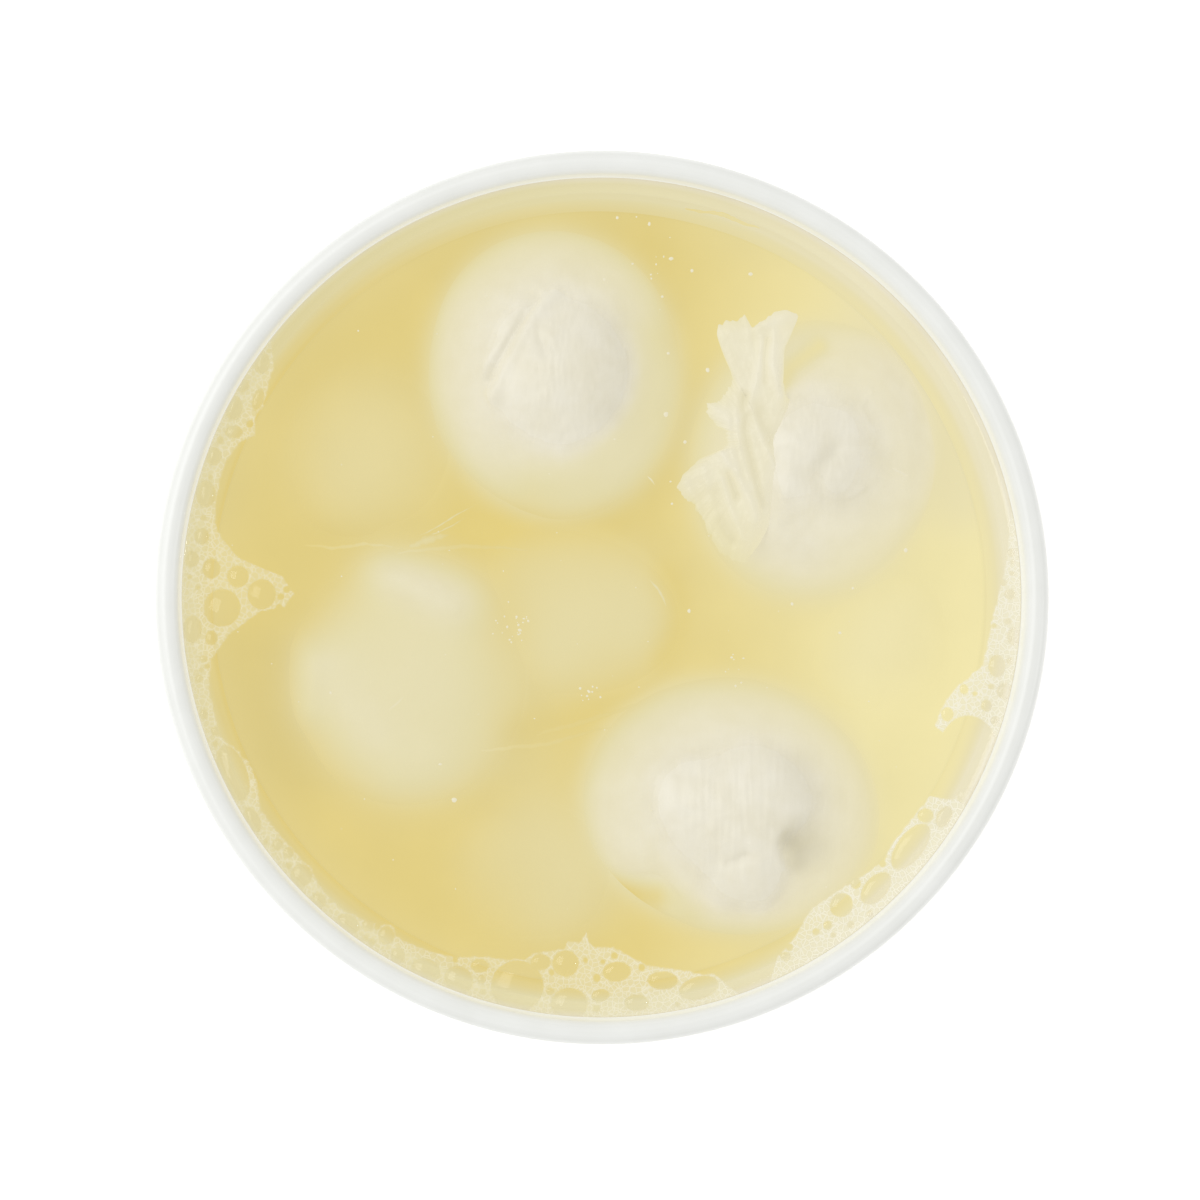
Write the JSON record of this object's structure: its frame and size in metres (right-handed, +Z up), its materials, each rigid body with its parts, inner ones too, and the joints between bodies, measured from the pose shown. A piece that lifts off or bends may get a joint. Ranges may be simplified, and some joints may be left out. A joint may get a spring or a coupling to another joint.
{
  "type": "burrata in whey",
  "caption": "Open round tub of burrata: soft white cheese balls in yellow whey, their crowns just out of the liquid and a pleated neck spread on it.",
  "frame": {"origin": "centre of the tub's base, on the surface that it stands on", "axes": "+Z up, along the tub's axis; +Y is the top of the view from above, +X its right"},
  "size_m": [0.192, 0.192, 0.108],
  "materials": {
    "plastic": "white moulded polypropylene, satin",
    "whey": "cloudy yellow liquid, wet and glossy",
    "curd": "smooth wet stretched curd, milky white"
  },
  "bodies": {
    "root": {"tub": "plastic", "whey": "whey", "burrata_creased": "curd", "burrata_necked": "curd", "burrata_dimpled": "curd"}
  },
  "joints": []
}
